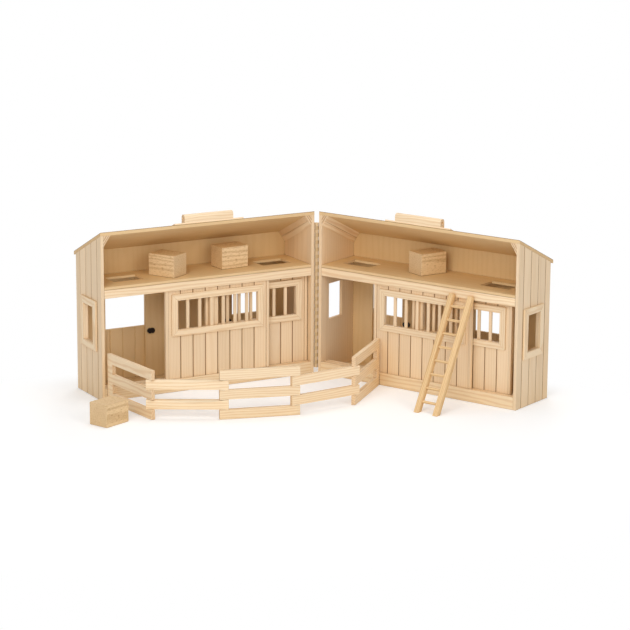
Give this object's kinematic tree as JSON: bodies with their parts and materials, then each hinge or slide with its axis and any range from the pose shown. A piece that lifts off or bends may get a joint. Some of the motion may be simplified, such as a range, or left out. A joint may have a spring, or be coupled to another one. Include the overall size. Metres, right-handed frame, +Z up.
{
  "type": "folding toy barn",
  "caption": "Wooden toy stable in two hinged halves that open wide, with sliding barred doors, back half doors, hay lofts, a folding fence, a ladder and bales.",
  "frame": {"origin": "middle of the left half's underside", "axes": "+X along the left half towards the hinge, +Y from its open front to its back, +Z up"},
  "size_m": [0.6849, 0.4355, 0.275],
  "materials": {
    "pine": "clear satin lacquer on straight grained softwood",
    "ply": "clear satin lacquer on thin board",
    "bale_wood": "open grained, matt",
    "hinge_metal": "brass plated steel",
    "catch_black": "moulded, satin"
  },
  "bodies": {
    "left_half": {"left_sill": "pine", "left_stall_floor": "ply", "left_back_wall": "ply", "left_outer_wall": "pine", "left_hinge_wall": "pine", "left_roof": "ply", "left_loft_floor": "ply", "left_beam": "pine", "left_rafter_strips": "pine", "left_window_trim": "pine", "left_handle": "pine", "left_hinge_leaf": "hinge_metal", "left_back_hinges": "hinge_metal"},
    "pin": {"hinge_pin": "hinge_metal"},
    "right_half": {"right_sill": "pine", "right_stall_floor": "ply", "right_back_wall": "ply", "right_outer_wall": "pine", "right_hinge_wall": "pine", "right_roof": "ply", "right_loft_floor": "ply", "right_beam": "pine", "right_rafter_strips": "pine", "right_window_trim": "pine", "right_handle": "pine", "right_hinge_leaf": "hinge_metal", "right_back_hinges": "hinge_metal"},
    "left_front_slider": {"left_front_door": "pine", "left_front_door_frame": "pine"},
    "left_rear_slider": {"left_rear_door": "pine", "left_rear_door_frame": "pine"},
    "right_front_slider": {"right_front_door": "pine", "right_front_door_frame": "pine"},
    "right_rear_slider": {"right_rear_door": "pine", "right_rear_door_frame": "pine"},
    "left_near_half_door": {"left_near_back_door": "pine"},
    "left_near_turn_catch": {"left_near_catch": "catch_black"},
    "left_far_half_door": {"left_far_back_door": "pine"},
    "left_far_turn_catch": {"left_far_catch": "catch_black"},
    "right_near_half_door": {"right_near_back_door": "pine"},
    "right_near_turn_catch": {"right_near_catch": "catch_black"},
    "right_far_half_door": {"right_far_back_door": "pine"},
    "right_far_turn_catch": {"right_far_catch": "catch_black"},
    "paddock": {"fence_panel_3": "pine", "fence_pins_3": "pine"},
    "fence_2": {"fence_panel_2": "pine"},
    "fence_1": {"fence_panel_1": "pine", "fence_blocks_1": "pine", "fence_pin_1": "pine"},
    "fence_4": {"fence_panel_4": "pine"},
    "fence_5": {"fence_panel_5": "pine", "fence_blocks_5": "pine", "fence_pin_5": "pine"},
    "ladder": {"ladder_rails": "pine", "ladder_rungs": "pine"},
    "floor_bale": {"floor_bale": "bale_wood"},
    "left_outer_bale": {"left_outer_bale": "bale_wood"},
    "left_inner_bale": {"left_inner_bale": "bale_wood"},
    "right_bale": {"right_bale": "bale_wood"}
  },
  "joints": [
    {"name": "fold_open", "type": "hinge", "parent": "left_half", "child": "pin", "pos_m": [0.187, -0.0467, 0.1265], "axis": [0, 0, 1], "range_deg": [0, 65]},
    {"name": "fold_close", "type": "hinge", "parent": "pin", "child": "right_half", "pos_m": [0.187, -0.0467, 0.1265], "axis": [0, 0, 1], "range_deg": [-115, 0]},
    {"name": "left_front_slide", "type": "slide", "parent": "left_half", "child": "left_front_slider", "axis": [-1, 0, 0], "range_m": [-0.073, 0.103]},
    {"name": "left_rear_slide", "type": "slide", "parent": "left_half", "child": "left_rear_slider", "axis": [-1, 0, 0], "range_m": [-0.0005, 0.1755]},
    {"name": "right_front_slide", "type": "slide", "parent": "right_half", "child": "right_front_slider", "axis": [0.4226, -0.9063, 0], "range_m": [-0.0985, 0.0775]},
    {"name": "right_rear_slide", "type": "slide", "parent": "right_half", "child": "right_rear_slider", "axis": [0.4226, -0.9063, 0], "range_m": [-0.1645, 0.0115]},
    {"name": "left_near_half_door_swing", "type": "hinge", "parent": "left_half", "child": "left_near_half_door", "pos_m": [0.142, 0.0486, 0.045], "axis": [0, 0, -1], "range_deg": [0, 100]},
    {"name": "left_far_half_door_swing", "type": "hinge", "parent": "left_half", "child": "left_far_half_door", "pos_m": [-0.138, 0.0486, 0.045], "axis": [0, 0, 1], "range_deg": [0, 100]},
    {"name": "left_near_catch_turn", "type": "hinge", "parent": "left_half", "child": "left_near_turn_catch", "pos_m": [0.074, 0.0457, 0.0785], "axis": [0, -1, 0], "range_deg": [0, 90]},
    {"name": "left_far_catch_turn", "type": "hinge", "parent": "left_half", "child": "left_far_turn_catch", "pos_m": [-0.06, 0.0457, 0.0785], "axis": [0, 1, 0], "range_deg": [0, 90]},
    {"name": "right_near_half_door_swing", "type": "hinge", "parent": "right_half", "child": "right_near_half_door", "pos_m": [0.29239, -0.04721, 0.045], "axis": [0, 0, 1], "range_deg": [0, 100]},
    {"name": "right_far_half_door_swing", "type": "hinge", "parent": "right_half", "child": "right_far_half_door", "pos_m": [0.40354, -0.28557, 0.045], "axis": [0, 0, -1], "range_deg": [0, 100]},
    {"name": "right_near_catch_turn", "type": "hinge", "parent": "right_half", "child": "right_near_turn_catch", "pos_m": [0.3185, -0.11006, 0.0785], "axis": [0.9063, 0.4226, 0], "range_deg": [0, 90]},
    {"name": "right_far_catch_turn", "type": "hinge", "parent": "right_half", "child": "right_far_turn_catch", "pos_m": [0.36795, -0.2161, 0.0785], "axis": [-0.9063, -0.4226, 0], "range_deg": [0, 90]},
    {"name": "paddock_aside", "type": "slide", "parent": "left_half", "child": "paddock", "axis": [-1, 0, 0], "range_m": [0, 0.73]},
    {"name": "fence_2_swing", "type": "hinge", "parent": "paddock", "child": "fence_2", "pos_m": [-0.06388, -0.21774, 0.037], "axis": [0, 0, 1], "range_deg": [0, 10]},
    {"name": "fence_1_swing", "type": "hinge", "parent": "fence_2", "child": "fence_1", "pos_m": [-0.15896, -0.1659, 0.037], "axis": [0, 0, 1], "range_deg": [0, 30]},
    {"name": "fence_4_swing", "type": "hinge", "parent": "paddock", "child": "fence_4", "pos_m": [0.04073, -0.24577, 0.037], "axis": [0, 0, 1], "range_deg": [-10, 0]},
    {"name": "fence_5_swing", "type": "hinge", "parent": "fence_4", "child": "fence_5", "pos_m": [0.1486, -0.23614, 0.037], "axis": [0, 0, 1], "range_deg": [0, 30]},
    {"name": "ladder_lift", "type": "slide", "parent": "paddock", "child": "ladder", "axis": [0, 0, 1], "range_m": [0, 0.06]},
    {"name": "floor_bale_lift", "type": "slide", "parent": "paddock", "child": "floor_bale", "axis": [0, 0, 1], "range_m": [0, 0.09]},
    {"name": "left_outer_bale_out", "type": "slide", "parent": "left_half", "child": "left_outer_bale", "axis": [0, -1, 0], "range_m": [0, 0.09]},
    {"name": "left_inner_bale_out", "type": "slide", "parent": "left_half", "child": "left_inner_bale", "axis": [0, -1, 0], "range_m": [0, 0.09]},
    {"name": "right_bale_out", "type": "slide", "parent": "right_half", "child": "right_bale", "axis": [-0.9063, -0.4226, 0], "range_m": [0, 0.09]}
  ],
  "couplings": [
    {"joint": "paddock_aside", "follows": "fold_close", "m_per_rad": -0.36}
  ]
}
